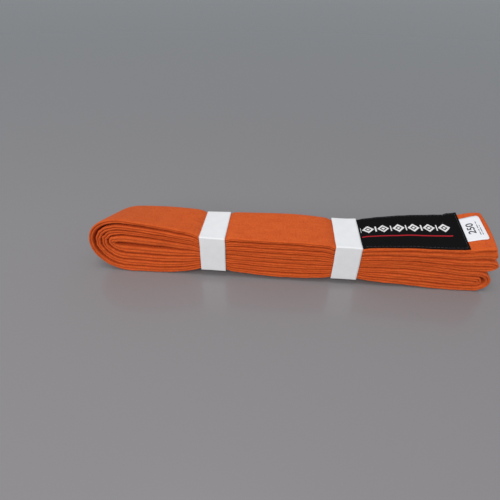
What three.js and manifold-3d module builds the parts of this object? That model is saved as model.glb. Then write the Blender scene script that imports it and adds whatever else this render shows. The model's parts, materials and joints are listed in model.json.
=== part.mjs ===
// Folded martial arts belt held by two paper bands.
//
// Units are millimetres. +X runs along the packet towards the free ends, +Y towards
// its back edge and +Z up. The origin is on the resting surface, under the middle of
// the packet. The belt is halved three times, so the packet is eight strands high:
// strand 1 is the top one, strand 8 the bottom one. Both free ends are on the right.

import * as THREE from 'three';
import { mergeVertices } from 'three/addons/utils/BufferGeometryUtils.js';
import Module from 'manifold-3d';

const wasm = await Module();
wasm.setup();

// ---- driving dimensions -------------------------------------------------------

const BELT_WIDTH = 40;
const BELT_THICKNESS = 3.4;
const COVER_WALL = 0.65; // doubled cotton on each face of the belt
const EDGE_WALL = 1.2; // folded edge at the back of the belt
const SEAM_LIP = 1.6; // turned-in cloth at the front edge, each side of the seam
const SEAM_SLIT = 0.4; // the seam itself, where the two turned edges meet
const CLEARANCE = 0.3; // between pieces that touch
const CORE_PLY = 0.6; // one of the two canvas plies inside the cover

// Stations along the packet. At each one: x, the height of the packet's underside,
// the pitch of the strands, and the extra space between strands 4 and 5.
const STATIONS = [
  { x: -128, base: 0, pitch: 4.65, wedge: 6 },
  { x: -105, base: 0, pitch: 4.65, wedge: 5 },
  { x: -70, base: 6.8, pitch: 3.85, wedge: 0 },
  { x: -47, base: 6.8, pitch: 3.85, wedge: 0 },
  { x: 0, base: 4.2, pitch: 4.25, wedge: 0 },
  { x: 34, base: 5.8, pitch: 3.75, wedge: 0 },
  { x: 58, base: 5.8, pitch: 3.75, wedge: 0 },
  { x: 90, base: 2.8, pitch: 4.7, wedge: 0 },
  { x: 130, base: 0, pitch: 5.5, wedge: 0 },
  { x: 147, base: 0, pitch: 5.85, wedge: 0 },
];
const STRANDS = 8;
const STEPS_PER_STATION = 3; // centreline points between one station and the next
const STEPS_PER_FOLD = 10; // centreline points round one fold

// Order in which the cloth runs through the strands, from the top free end on.
const ROUTE = [1, 8, 5, 4, 3, 6, 7, 2];
// Folds join the last strand to the next one: left, right, left and so on. Each is
// half an ellipse, given by where it starts and how far it reaches beyond that.
const LEFT_FOLDS = [
  { x: -128, reach: 27 }, // 1 to 8, the outermost
  { x: -128, reach: 13.6 }, // 5 to 4, the innermost
  { x: -128, reach: 18.2 }, // 3 to 6
  { x: -128, reach: 22.6 }, // 7 to 2
];
const RIGHT_FOLDS = [
  { x: 146, reach: 9 }, // 8 to 5
  { x: 150.5, reach: 4.5 }, // 4 to 3
  { x: 145.6, reach: 3.6 }, // 6 to 7
];
const FREE_END_X = 152; // where the top free end stops
const INNER_END_X = 151; // where the free end under it stops
const END_WALL = 1.5; // turned-in cloth closing a free end

const BAND_WIDTH = 20;
const BAND_PAPER = 0.3;
const BAND_LAP = 12; // glued overlap, under the packet
const BAND_CORNER = 0.8; // radius of the creased corners
const LEFT_BAND_X = -58.6;
const RIGHT_BAND_X = 45.7;

const HINGE_X = RIGHT_BAND_X + BAND_WIDTH / 2 + 0.8; // the free end lifts here
const LABEL_THICKNESS = 0.4;
const LABEL_WIDTH = 38.6;
const LABEL_START_X = 47; // tucked under the right band
const LABEL_END_X = 134;
const THREAD = 0.5;
const LABEL_STITCH_INSET = 1.4; // from the label's edge to its line of stitches
const END_STITCH_INSET = 2.4; // from a free end to its first line of stitches
const END_STITCH_ROWS_APART = 4;
const END_STITCH_MARGIN = 3; // from the belt's edges to the stitch box

const TAG_WIDTH = 24.5;
const TAG_LENGTH = 14.6;
const TAG_THICKNESS = 0.3;
const TAG_TURN = THREE.MathUtils.degToRad(6); // sewn in slightly askew
const TAG_START_X = LABEL_END_X + CLEARANCE;
const TAG_ASIDE = 1.2; // its middle lies this far towards the belt's back edge

const COTTON = { color: 0xcc5f2e, roughness: 0.92, metalness: 0 };
const CANVAS = { color: 0xd8cdb8, roughness: 0.95, metalness: 0 };
const PAPER = { color: 0xe4e2e0, roughness: 0.6, metalness: 0 };
const LABEL = { color: 0x141313, roughness: 0.7, metalness: 0 };
const TAG = { color: 0xf0eff0, roughness: 0.55, metalness: 0 };
const ORANGE_THREAD = { color: 0xc2522a, roughness: 0.8, metalness: 0 };
const BLACK_THREAD = { color: 0x1c1b1b, roughness: 0.75, metalness: 0 };

// ---- heights along the packet ---------------------------------------------------

const HALF = BELT_THICKNESS / 2;

/** Slope of a station value at station i, none where the values turn or stay level. */
function slopeAt(key, i) {
  if (i === 0 || i === STATIONS.length - 1) return 0;
  const [a, b, c] = [STATIONS[i - 1], STATIONS[i], STATIONS[i + 1]];
  const before = (b[key] - a[key]) / (b.x - a.x);
  const after = (c[key] - b[key]) / (c.x - b.x);
  return before * after > 0 ? (2 * before * after) / (before + after) : 0;
}

/** A station value at any x, on cubics that never overshoot the stations. */
function valueAt(key, x) {
  const last = STATIONS.length - 1;
  if (x <= STATIONS[0].x) return STATIONS[0][key];
  if (x >= STATIONS[last].x) return STATIONS[last][key];
  const i = STATIONS.findIndex((s, n) => n < last && x < STATIONS[n + 1].x);
  const [a, b] = [STATIONS[i], STATIONS[i + 1]];
  const span = b.x - a.x;
  const u = (x - a.x) / span;
  const rise = u * u * (3 - 2 * u);
  const leave = u * (1 - u) ** 2 * span * slopeAt(key, i);
  const arrive = u * u * (u - 1) * span * slopeAt(key, i + 1);
  return a[key] + (b[key] - a[key]) * rise + leave + arrive;
}

/** Height of a strand's centreline at x. */
function strandZ(strand, x) {
  const wedge = strand <= STRANDS / 2 ? valueAt('wedge', x) : 0;
  return valueAt('base', x) + HALF + (STRANDS - strand) * valueAt('pitch', x) + wedge;
}

/** Whether the packet keeps its height and pitch between two x. */
function isLevel(a, b) {
  return ['base', 'pitch', 'wedge'].every((key) => valueAt(key, a) === valueAt(key, b));
}

/** Sample places between two x: a few steps between stations, one where all is level. */
function samplesBetween(from, to) {
  const [low, high] = [Math.min(from, to), Math.max(from, to)];
  const stops = STATIONS.map((s) => s.x).filter((x) => x > low + 1 && x < high - 1);
  const marks = [low, ...stops, high];
  const xs = [low];
  for (let i = 1; i < marks.length; i++) {
    const steps = isLevel(marks[i - 1], marks[i]) ? 1 : STEPS_PER_STATION;
    for (let n = 1; n <= steps; n++) {
      xs.push(THREE.MathUtils.lerp(marks[i - 1], marks[i], n / steps));
    }
  }
  return from < to ? xs : xs.reverse();
}

/** Centreline of one strand from one x to another. */
function strandLine(strand, from, to) {
  return samplesBetween(from, to).map((x) => new THREE.Vector2(x, strandZ(strand, x)));
}

/** Inner points of the half ellipse that joins two strands, to the left (-1) or right (+1). */
function foldLine(fromStrand, toStrand, fold, side) {
  const from = strandZ(fromStrand, fold.x);
  const to = strandZ(toStrand, fold.x);
  const points = [];
  for (let n = 1; n < STEPS_PER_FOLD; n++) {
    const turn = (Math.PI * n) / STEPS_PER_FOLD;
    const z = (from + to) / 2 + ((from - to) / 2) * Math.cos(turn);
    points.push(new THREE.Vector2(fold.x + side * fold.reach * Math.sin(turn), z));
  }
  return points;
}

/** Centreline of the whole belt but its lifting end, from the hinge to the inner free end. */
function mainLine(startX, endX) {
  const line = [];
  let x = startX;
  ROUTE.forEach((strand, i) => {
    const side = i % 2 === 0 ? -1 : 1;
    const folds = side < 0 ? LEFT_FOLDS : RIGHT_FOLDS;
    const fold = i < ROUTE.length - 1 ? folds[Math.floor(i / 2)] : null;
    const stop = fold ? fold.x : endX;
    line.push(...strandLine(strand, x, stop));
    if (fold) {
      line.push(...foldLine(strand, ROUTE[i + 1], fold, side));
      x = fold.x;
    }
  });
  return line;
}

// ---- solids ---------------------------------------------------------------------

/** Closed outline of a strip of given thickness, its middle offset from a centreline. */
function stripShape(line, thickness, offset = 0) {
  const sides = line.map((p, i) => {
    const along = new THREE.Vector2()
      .subVectors(line[Math.min(i + 1, line.length - 1)], line[Math.max(i - 1, 0)])
      .normalize();
    return { p, normal: new THREE.Vector2(-along.y, along.x) };
  });
  const edge = (d) => sides.map(({ p, normal }) => p.clone().addScaledVector(normal, d));
  const upper = edge(offset + thickness / 2);
  const lower = edge(offset - thickness / 2).reverse();
  return new THREE.Shape([...upper, ...lower]);
}

/** A shape drawn in X and Z, extruded over the belt's width from yLow to yHigh. */
function extrudeAcross(shape, yLow, yHigh) {
  const settings = { depth: yHigh - yLow, bevelEnabled: false };
  const geometry = new THREE.ExtrudeGeometry(shape, settings);
  return geometry.rotateX(Math.PI / 2).translate(0, yHigh, 0);
}

/** A closed three.js geometry as a solid that can be joined and cut. */
function toSolid(geometry) {
  const bare = geometry.clone();
  bare.deleteAttribute('normal');
  bare.deleteAttribute('uv');
  const merged = mergeVertices(bare, 1e-4);
  const vertProperties = Float32Array.from(merged.attributes.position.array);
  const triVerts = Uint32Array.from(merged.index.array);
  return new wasm.Manifold(new wasm.Mesh({ numProp: 3, vertProperties, triVerts }));
}

/** A solid back as a three.js geometry. */
function toGeometry(solid) {
  const { vertProperties, triVerts } = solid.getMesh();
  const geometry = new THREE.BufferGeometry();
  geometry.setAttribute('position', new THREE.BufferAttribute(vertProperties, 3));
  geometry.setIndex(new THREE.BufferAttribute(triVerts, 1));
  return geometry;
}

/**
 * The cotton cover: wrapped round the core from its back edge, its seam in the front edge.
 * lineTo(startBy, endBy) gives the centreline with both ends drawn in by those lengths.
 */
function coverGeometry(lineTo) {
  const [front, back] = [-BELT_WIDTH / 2, BELT_WIDTH / 2];
  const inner = lineTo(-CLEARANCE, END_WALL);
  const room = BELT_THICKNESS - 2 * COVER_WALL;
  const seamEnd = front + SEAM_LIP;
  const cut = (thickness, yLow, yHigh) =>
    toSolid(extrudeAcross(stripShape(inner, thickness), yLow, yHigh));
  const outside = toSolid(extrudeAcross(stripShape(lineTo(0, 0), BELT_THICKNESS), front, back));
  const inside = cut(room, seamEnd, back - EDGE_WALL);
  const seam = cut(SEAM_SLIT, front - 1, seamEnd + CLEARANCE);
  return toGeometry(outside.subtract(inside).subtract(seam));
}

/** One canvas ply of the core, above (+1) or below (-1) the belt's middle. */
function plyGeometry(lineTo, side) {
  const middle = (side * (CORE_PLY + CLEARANCE)) / 2;
  return extrudeAcross(
    stripShape(lineTo(0, END_WALL + CLEARANCE), CORE_PLY, middle),
    -BELT_WIDTH / 2 + SEAM_LIP + CLEARANCE,
    BELT_WIDTH / 2 - EDGE_WALL - CLEARANCE,
  );
}

/** A thin strip lying on a strand's upper face, a gap above it. */
function patchGeometry(strand, from, to, halfWidth, thickness, gap) {
  const above = HALF + gap + thickness / 2;
  const line = strandLine(strand, from, to);
  return extrudeAcross(stripShape(line, thickness, above), -halfWidth, halfWidth);
}

/** A rectangular line of stitches on a strand's upper face. */
function stitchBoxGeometry(strand, from, to, halfWidth, gap) {
  const outside = patchGeometry(strand, from, to, halfWidth, THREAD, gap);
  const height = strandZ(strand, to) + BELT_THICKNESS + gap + THREAD;
  const core = new THREE.BoxGeometry(
    to - from - 2 * THREAD,
    2 * (halfWidth - THREAD),
    2 * height,
  ).translate((from + to) / 2, 0, 0);
  return toGeometry(toSolid(outside).subtract(toSolid(core)));
}

/** A rectangle with rounded corners, in Y and Z. */
function roundedRectangle(Path, halfWidth, low, high, radius) {
  const path = new Path();
  path.moveTo(halfWidth, low + radius);
  path.lineTo(halfWidth, high - radius);
  path.absarc(halfWidth - radius, high - radius, radius, 0, Math.PI / 2, false);
  path.absarc(radius - halfWidth, high - radius, radius, Math.PI / 2, Math.PI, false);
  path.absarc(radius - halfWidth, low + radius, radius, Math.PI, 1.5 * Math.PI, false);
  path.absarc(halfWidth - radius, low + radius, radius, 1.5 * Math.PI, 2 * Math.PI, false);
  return path;
}

/** A paper band wrapped round the packet, its ends lapped and glued underneath. */
function bandGeometry(low, high) {
  const inner = BELT_WIDTH / 2 + CLEARANCE;
  const outer = inner + BAND_PAPER;
  const settings = { depth: BAND_WIDTH, bevelEnabled: false, curveSegments: 3 };
  const ring = roundedRectangle(
    THREE.Shape,
    outer,
    low - BAND_PAPER,
    high + BAND_PAPER,
    BAND_CORNER + BAND_PAPER,
  );
  ring.holes.push(roundedRectangle(THREE.Path, inner, low, high, BAND_CORNER));
  const wrap = new THREE.ExtrudeGeometry(ring, settings);
  wrap.rotateX(Math.PI / 2).rotateZ(Math.PI / 2);
  const lap = new THREE.BoxGeometry(BAND_WIDTH, BAND_LAP, 2 * BAND_PAPER);
  lap.translate(BAND_WIDTH / 2, 0, low - BAND_PAPER);
  return toGeometry(toSolid(wrap).add(toSolid(lap)));
}

// ---- assembly -------------------------------------------------------------------

const belt = new THREE.Group();

/** Adds a named piece to a group. */
function addPiece(group, name, geometry, finish) {
  const mesh = new THREE.Mesh(geometry, new THREE.MeshStandardMaterial(finish));
  mesh.name = name;
  group.add(mesh);
  return mesh;
}

// The folded belt runs from the hinge line to the inner free end, and the free end on
// top lifts at that line. Both covers are open there, so the core plies reach it.
const foldedLine = (startBy, endBy) =>
  mainLine(HINGE_X - CLEARANCE - startBy, INNER_END_X - endBy);
addPiece(belt, 'belt_cover', coverGeometry(foldedLine), COTTON);
addPiece(belt, 'upper_core_ply', plyGeometry(foldedLine, 1), CANVAS);
addPiece(belt, 'lower_core_ply', plyGeometry(foldedLine, -1), CANVAS);

const freeLine = (startBy, endBy) =>
  strandLine(1, HINGE_X + CLEARANCE + startBy, FREE_END_X - endBy);
addPiece(belt, 'free_end_cover', coverGeometry(freeLine), COTTON);
addPiece(belt, 'free_end_upper_core_ply', plyGeometry(freeLine, 1), CANVAS);
addPiece(belt, 'free_end_lower_core_ply', plyGeometry(freeLine, -1), CANVAS);

// Rows of thread that close the two free ends.
for (const [name, strand, end] of [
  ['free_end_stitching', 1, FREE_END_X],
  ['inner_end_stitching', 2, INNER_END_X],
]) {
  const last = end - END_STITCH_INSET;
  const halfWidth = BELT_WIDTH / 2 - END_STITCH_MARGIN;
  const first = last - END_STITCH_ROWS_APART;
  addPiece(
    belt,
    name,
    stitchBoxGeometry(strand, first, last, halfWidth, CLEARANCE),
    ORANGE_THREAD,
  );
}

// The woven label, cut at the hinge line into its tucked part and its lifting part.
const labelHalf = LABEL_WIDTH / 2;
addPiece(
  belt,
  'label_tucked_end',
  patchGeometry(1, LABEL_START_X, HINGE_X - CLEARANCE, labelHalf, LABEL_THICKNESS, CLEARANCE),
  LABEL,
);
addPiece(
  belt,
  'woven_label',
  patchGeometry(1, HINGE_X + CLEARANCE, LABEL_END_X, labelHalf, LABEL_THICKNESS, CLEARANCE),
  LABEL,
);
addPiece(
  belt,
  'label_stitching',
  stitchBoxGeometry(
    1,
    HINGE_X + LABEL_STITCH_INSET,
    LABEL_END_X - LABEL_STITCH_INSET,
    labelHalf - LABEL_STITCH_INSET,
    LABEL_THICKNESS + 2 * CLEARANCE,
  ),
  BLACK_THREAD,
);

// The size tag, sewn in at the label's end and lying on the free end and its stitches.
const tagRise = strandZ(1, TAG_START_X + TAG_LENGTH) - strandZ(1, TAG_START_X);
const tagSlope = Math.atan2(tagRise, TAG_LENGTH);
const tagGap = 3 * CLEARANCE + THREAD;
const tagMiddleZ = strandZ(1, TAG_START_X) + HALF + tagGap + TAG_THICKNESS / 2;
const tagGroup = new THREE.Group();
tagGroup.position.set(TAG_START_X, TAG_ASIDE, tagMiddleZ);
tagGroup.rotation.y = -tagSlope;
belt.add(tagGroup);
const tag = addPiece(
  tagGroup,
  'size_tag',
  new THREE.BoxGeometry(TAG_LENGTH, TAG_WIDTH, TAG_THICKNESS).translate(TAG_LENGTH / 2, 0, 0),
  TAG,
);
tag.rotation.z = TAG_TURN;

// The two paper bands.
for (const [name, middle, labelled] of [
  ['left_paper_band', LEFT_BAND_X, false],
  ['right_paper_band', RIGHT_BAND_X, true],
]) {
  const low = strandZ(STRANDS, middle) - HALF - CLEARANCE;
  const cloth = labelled ? LABEL_THICKNESS + CLEARANCE : 0;
  const high = strandZ(1, middle) + HALF + cloth + CLEARANCE;
  const band = addPiece(belt, name, bandGeometry(low, high), PAPER);
  band.position.x = middle - BAND_WIDTH / 2;
}

export default belt;
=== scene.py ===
"""Looks of a folded martial arts belt, held in a flat packet by two paper bands.

The belt is halved three times, so the packet is eight strands high: strand 1 is the top
one and strand 8 the bottom one. Shapes are worked out in millimetres and turned into
metres where a mesh is made. +X is the labelled end, -Y the front edge with the seam.
"""

import json
import logging
import math
from dataclasses import dataclass, field
from enum import Enum

import bpy
import numpy as np
from mathutils import Matrix, Vector


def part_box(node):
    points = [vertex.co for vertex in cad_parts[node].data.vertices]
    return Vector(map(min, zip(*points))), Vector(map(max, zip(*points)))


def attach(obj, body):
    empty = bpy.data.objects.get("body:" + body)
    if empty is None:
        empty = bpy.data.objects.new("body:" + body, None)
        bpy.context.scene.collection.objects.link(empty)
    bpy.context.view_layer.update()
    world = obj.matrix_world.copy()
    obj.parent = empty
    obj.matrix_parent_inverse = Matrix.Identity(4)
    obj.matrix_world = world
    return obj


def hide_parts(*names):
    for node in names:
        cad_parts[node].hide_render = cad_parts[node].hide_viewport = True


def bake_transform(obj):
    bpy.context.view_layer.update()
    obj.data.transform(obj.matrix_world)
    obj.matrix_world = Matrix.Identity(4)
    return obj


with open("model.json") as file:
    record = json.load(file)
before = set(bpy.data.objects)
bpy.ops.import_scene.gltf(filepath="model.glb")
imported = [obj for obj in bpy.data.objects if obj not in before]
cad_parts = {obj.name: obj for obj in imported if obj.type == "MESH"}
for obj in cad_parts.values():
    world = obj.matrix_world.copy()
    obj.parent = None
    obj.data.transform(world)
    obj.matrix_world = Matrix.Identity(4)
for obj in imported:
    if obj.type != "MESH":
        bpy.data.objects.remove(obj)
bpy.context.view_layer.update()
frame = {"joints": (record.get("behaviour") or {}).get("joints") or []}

MM = 0.001
LOG = logging.getLogger("belt")
COLUMNS = ("x", "z", "half", "seam", "droop", "wrinkle")  # what a course lists for each place

Array = np.ndarray
Piece = bpy.types.Object
Material = bpy.types.Material
Tree = bpy.types.NodeTree
Node = bpy.types.Node
Socket = bpy.types.NodeSocket
Source = Node | Socket | float | tuple[float, ...]
Point = tuple[float, float, float]
Pair = tuple[float, float]


class Side(Enum):
    """The end of the packet that a fold or a node's end is at."""

    LEFT = -1
    RIGHT = 1


class Ply(Enum):
    """One of the two canvas plies in the belt's core."""

    UPPER = 1
    LOWER = -1


# ---- curves ----------------------------------------------------------------------------


def through(places: Array, values: Array, at: Array) -> Array:
    """Values at any place, on cubics that pass through given ones and never overshoot.

    The slope at a place is the harmonic mean of the slopes beside it, and none where
    the values turn, stay level or end. Beyond the ends the values stay as they are.

    Args:
        places: Rising places.
        values: The value at each of them.
        at: Where to work the value out.

    Returns:
        One value for each entry of at.
    """
    places, values = np.asarray(places, float), np.asarray(values, float)
    span = np.diff(places)
    rate = np.diff(values) / span
    product, total = rate[:-1] * rate[1:], rate[:-1] + rate[1:]
    turning = product <= 0
    inner = np.where(turning, 0, 2 * product / np.where(turning, 1, total))
    slope = np.concatenate([[0], inner, [0]])
    x = np.clip(at, places[0], places[-1])
    i = np.clip(np.searchsorted(places, x, side="right") - 1, 0, len(span) - 1)
    u = (x - places[i]) / span[i]
    rise = u * u * (3 - 2 * u)
    leave = u * (1 - u) ** 2 * span[i] * slope[i]
    arrive = u * u * (u - 1) * span[i] * slope[i + 1]
    return values[i] + (values[i + 1] - values[i]) * rise + leave + arrive


def step_up(value: Array, low: float, high: float) -> Array:
    """Rises smoothly from 0 at low to 1 at high, as 3t^2 - 2t^3."""
    t = np.clip((value - low) / (high - low), 0, 1)
    return t * t * (3 - 2 * t)


def rounded(share: Array, least: float) -> Array:
    """Rises from a least value at 0 to 1 at 1, as the root of 1 - (1 - share)^2."""
    return np.sqrt(np.maximum(1 - (1 - np.clip(share, 0, 1)) ** 2, least))


def worn_rim(across: Array, power: float, least: float) -> Array:
    """A sheet's thickness from edge to edge, as the root of 1 - |across|^power."""
    return np.sqrt(np.maximum(1 - np.abs(across) ** power, least))


def ring_length(y: Array, h: Array) -> Array:
    """Length round a closed ring to each of its points, and at last back to the first."""
    steps = np.hypot(np.diff(np.append(y, y[0])), np.diff(np.append(h, h[0])))
    return np.concatenate([[0], np.cumsum(steps)])


def both_faces(ways: Array) -> Array:
    """Lengths across a sheet's upper face, back across its lower one, and to the start."""
    width = ways[-1] - ways[0]
    return np.concatenate([ways, ways[::-1] + 2 * width, [ways[-1] + 2 * width]])


@dataclass(frozen=True)
class Drift:
    """A smooth wander, mostly within its size: a sum of five sines of seeded phase."""

    size: float
    shortest: float  # wavelength of the quickest sine, in millimetres
    longest: float
    seed: int = 0
    sines: int = 5
    full: float = 3.0  # the sum of the sines that counts as the full size

    def at(self, place: Array, other: int = 0) -> Array:
        """The wander at some places.

        Args:
            place: Places along the cloth, in millimetres.
            other: Added to the seed, for another wander of the same kind.

        Returns:
            One value for each entry of place.
        """
        phases = np.random.default_rng(self.seed + other).uniform(0, 2 * np.pi, self.sines)
        waves = np.geomspace(self.shortest, self.longest, self.sines)
        total = sum(np.sin(2 * np.pi * place / wave + phase) for wave, phase in zip(waves, phases))
        return self.size * total / self.full


# ---- meshes ----------------------------------------------------------------------------


def in_scene(name: str, data: bpy.types.ID) -> Piece:
    """A new object with some data, linked to the scene."""
    thing = bpy.data.objects.new(name, data)
    bpy.context.scene.collection.objects.link(thing)
    return thing


def swept_mesh(name: str, rings: Array, along: Array, around: Array) -> Piece:
    """A closed skin over a row of rings, with flat ends and a UV map in metres.

    Args:
        name: The piece's name.
        rings: Points in millimetres, as ring, place in the ring and x, y, z.
        along: How far each ring is along the cloth, in millimetres. It becomes U.
        around: How far each place is round the ring, with one more entry for the
            way back to the first place. It becomes V.

    Returns:
        The new object, its faces pointing out.
    """
    count, size = rings.shape[:2]
    i, j = np.meshgrid(np.arange(count - 1), np.arange(size), indexing="ij")
    i, j = i.ravel(), j.ravel()
    after = (j + 1) % size
    corners = [i * size + j, i * size + after, (i + 1) * size + after, (i + 1) * size + j]
    quads = np.stack(corners, axis=1)
    u = np.stack([along[i], along[i], along[i + 1], along[i + 1]], axis=1)
    v = np.stack([around[j], around[j + 1], around[j + 1], around[j]], axis=1)
    points = rings.reshape(-1, 3)
    a, b, c, d = (points[quads[:, n]] for n in range(4))
    inside_out = (np.cross(c - a, d - b) * (a + b + c + d)).sum() < 0
    first, last = np.arange(size)[::-1], (count - 1) * size + np.arange(size)
    v_first, v_last = around[:size][::-1], around[:size]
    if inside_out:
        quads, u, v = quads[:, ::-1], u[:, ::-1], v[:, ::-1]
        first, last, v_first, v_last = first[::-1], last[::-1], v_first[::-1], v_last[::-1]
    mesh = bpy.data.meshes.new(name)
    mesh.from_pydata((points * MM).tolist(), [], quads.tolist() + [first.tolist(), last.tolist()])
    u_all = np.concatenate([u.ravel(), np.full(size, along[0]), np.full(size, along[-1])])
    v_all = np.concatenate([v.ravel(), v_first, v_last])
    layer = mesh.uv_layers.new(name="cloth")
    layer.data.foreach_set("uv", (np.stack([u_all, v_all], axis=1) * MM).ravel())
    smooth = np.ones(len(mesh.polygons), bool)
    smooth[-2:] = False
    mesh.polygons.foreach_set("use_smooth", smooth)
    mesh.update()
    return in_scene(name, mesh)


def dress(piece: Piece, material: Material) -> None:
    """Gives a piece its one material and reports it."""
    piece.data.materials.clear()
    piece.data.materials.append(material)
    LOG.info("%s: %d faces, %s", piece.name, len(piece.data.polygons), material.name)


# ---- material nodes --------------------------------------------------------------------


def linear(colour: str) -> tuple[float, float, float, float]:
    """An sRGB hex colour as linear RGBA.

    Args:
        colour: Six hex digits after a hash.

    Returns:
        Red, green, blue and an alpha of one.
    """
    srgb = np.array([int(colour[i : i + 2], 16) for i in (1, 3, 5)]) / 255
    low, high = srgb / 12.92, ((srgb + 0.055) / 1.055) ** 2.4
    return (*np.where(srgb <= 0.04045, low, high).tolist(), 1.0)


def feed(tree: Tree, socket: Socket, source: Source) -> None:
    """Links a node's first live output, or a socket, to an input, or sets its value."""
    if isinstance(source, Node):
        source = next(output for output in source.outputs if output.enabled)
    if isinstance(source, Socket):
        tree.links.new(source, socket)
    else:
        socket.default_value = source


def add(tree: Tree, kind: str, *sources: Source, **settings: object) -> Node:
    """Adds a node to a tree.

    Args:
        tree: The material's node tree.
        kind: The node's Blender type, without its ShaderNode prefix.
        sources: What goes to the node's live inputs, in their order.
        settings: The node's own properties.

    Returns:
        The new node.
    """
    node = tree.nodes.new("ShaderNode" + kind)
    for name, value in settings.items():
        setattr(node, name, value)
    live = [socket for socket in node.inputs if socket.enabled]
    for socket, source in zip(live, sources):
        feed(tree, socket, source)
    return node


def cloth_uv(tree: Tree) -> tuple[Node, Socket, Socket]:
    """The piece's own UV map, in metres of cloth.

    Args:
        tree: The material's node tree.

    Returns:
        The whole vector, the way along the cloth and the way across it.
    """
    uv = add(tree, "UVMap", uv_map="cloth")
    ways = add(tree, "SeparateXYZ", uv)
    return uv, ways.outputs["X"], ways.outputs["Y"]


def ripple(tree: Tree, at: Source, spacing: float) -> Node:
    """A sine of a distance in metres, with that spacing in millimetres."""
    turned = add(tree, "Math", at, 2 * math.pi / (spacing * MM), operation="MULTIPLY")
    return add(tree, "Math", turned, operation="SINE")


def weighted(tree: Tree, start: float, *terms: tuple[float, Source]) -> Source:
    """A start value plus each source times its weight."""
    total = start
    for weight, source in terms:
        total = add(tree, "Math", source, weight, total, operation="MULTIPLY_ADD")
    return total


def cloth_noise(tree: Tree, uv: Source, spot: Pair, detail: float = 3) -> Node:
    """Noise from 0 to 1 whose spots have a real size.

    Args:
        tree: The material's node tree.
        uv: The cloth's UV, in metres.
        spot: A spot's size along the cloth and across it, in millimetres.
        detail: How many finer layers the noise has.

    Returns:
        The noise.
    """
    scale = (1 / (spot[0] * MM), 1 / (spot[1] * MM), 1)
    stretched = add(tree, "VectorMath", uv, scale, operation="MULTIPLY")
    return add(tree, "TexNoise", stretched, 1.0, detail)


def new_material(name: str) -> tuple[Material, Tree, Node]:
    """A new material with its tree and its main shader."""
    material = bpy.data.materials.new(name)
    material.use_nodes = True
    return material, material.node_tree, material.node_tree.nodes["Principled BSDF"]


def finish_shader(
    tree: Tree,
    shader: Node,
    colour: Source,
    height: Source,
    relief: float,
    values: dict[str, object],
) -> None:
    """Links colour and relief to a shader and sets its other values.

    Args:
        tree: The material's node tree.
        shader: The main shader.
        colour: The surface's colour.
        height: Relief, about 0 to 1.
        relief: The height that a relief of one stands for, in millimetres.
        values: The shader's inputs that are the same all over.
    """
    bump = add(tree, "Bump")
    for name, value in {"Height": height, "Distance": relief * MM, "Strength": 1.0}.items():
        feed(tree, bump.inputs[name], value)
    for name, value in {"Normal": bump, "Base Color": colour, **values}.items():
        feed(tree, shader.inputs[name], value)


# ---- finishes --------------------------------------------------------------------------


@dataclass(frozen=True)
class DyedCotton:
    """Dyed cotton drill: matt, with a short nap that lightens at grazing angles.

    The threads are 0.5 mm apart on the real cloth. They are drawn 0.9 mm apart, which
    is as fine as the render can show. Sizes are in millimetres.
    """

    face: str = "#DD6428"
    deep: str = "#B23A12"
    nap: str = "#F0A070"
    thread: float = 0.9
    warp: float = 0.63
    cloud: Pair = (9, 6)
    slub: Pair = (16, 0.8)
    fleck: Pair = (1.7, 1.3)
    fuzz: Pair = (0.7, 0.7)
    stitch_row: float = 4.6
    stitch: float = 3.2
    valley: float = 0.25  # a stitch row's narrowness: the sine's size to this power
    relief: float = 0.12

    def quilting(self, tree: Tree, along: Socket, across: Socket) -> Node:
        """Rows of stitches: narrow valleys across the cloth, broken by the thread."""
        wave = add(tree, "Math", ripple(tree, across, self.stitch_row * 2), operation="ABSOLUTE")
        valley = add(tree, "Math", wave, self.valley, operation="POWER")
        broken = weighted(tree, 0.8, (0.2, ripple(tree, along, self.stitch)))
        return add(tree, "Math", valley, broken, operation="MULTIPLY")

    def build(self) -> Material:
        """Makes the material: twill lines, uneven dye and faint rows of stitches."""
        material, tree, shader = new_material("dyed cotton drill")
        uv, along, across = cloth_uv(tree)
        slant = add(tree, "Math", along, across, operation="ADD")
        twill = ripple(tree, slant, self.thread)
        warp = ripple(tree, across, self.warp)
        weave = add(tree, "Math", warp, 0.35, twill, operation="MULTIPLY_ADD")
        clouds = cloth_noise(tree, uv, self.cloud)
        slubs = cloth_noise(tree, uv, self.slub, 2)
        flecks = cloth_noise(tree, uv, self.fleck, 2)
        fuzz = cloth_noise(tree, uv, self.fuzz, 2)
        share = weighted(tree, -0.65, (0.6, clouds), (0.5, slubs), (0.9, flecks), (0.1, weave))
        colour = add(tree, "Mix", share, linear(self.face), linear(self.deep), data_type="RGBA")
        rows = self.quilting(tree, along, across)
        height = weighted(tree, 0.0, (0.4, weave), (0.6, fuzz), (0.8, rows))
        values = {
            "Roughness": 0.92,
            "Specular IOR Level": 0.2,
            "Sheen Weight": 0.1,
            "Sheen Roughness": 0.45,
            "Sheen Tint": linear(self.nap),
        }
        finish_shader(tree, shader, colour, height, self.relief, values)
        return material


@dataclass(frozen=True)
class CoreCanvas:
    """Undyed cotton canvas: a coarse plain weave of cream threads about 1 mm apart."""

    face: str = "#D8CDB8"
    deep: str = "#A99C84"
    thread: float = 1.0
    seed_fleck: Pair = (5, 2)
    relief: float = 0.1

    def build(self) -> Material:
        """Makes the material: threads over and under each other, with seed flecks."""
        material, tree, shader = new_material("undyed cotton canvas")
        uv, along, across = cloth_uv(tree)
        warp, weft = (ripple(tree, way, self.thread * 2) for way in (along, across))
        product = add(tree, "Math", warp, weft, operation="MULTIPLY")
        height = add(tree, "Math", product, operation="ABSOLUTE")
        share = weighted(tree, 0.0, (0.7, cloth_noise(tree, uv, self.seed_fleck)))
        colour = add(tree, "Mix", share, linear(self.face), linear(self.deep), data_type="RGBA")
        values = {"Roughness": 0.95, "Specular IOR Level": 0.2}
        finish_shader(tree, shader, colour, height, self.relief, values)
        return material


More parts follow.
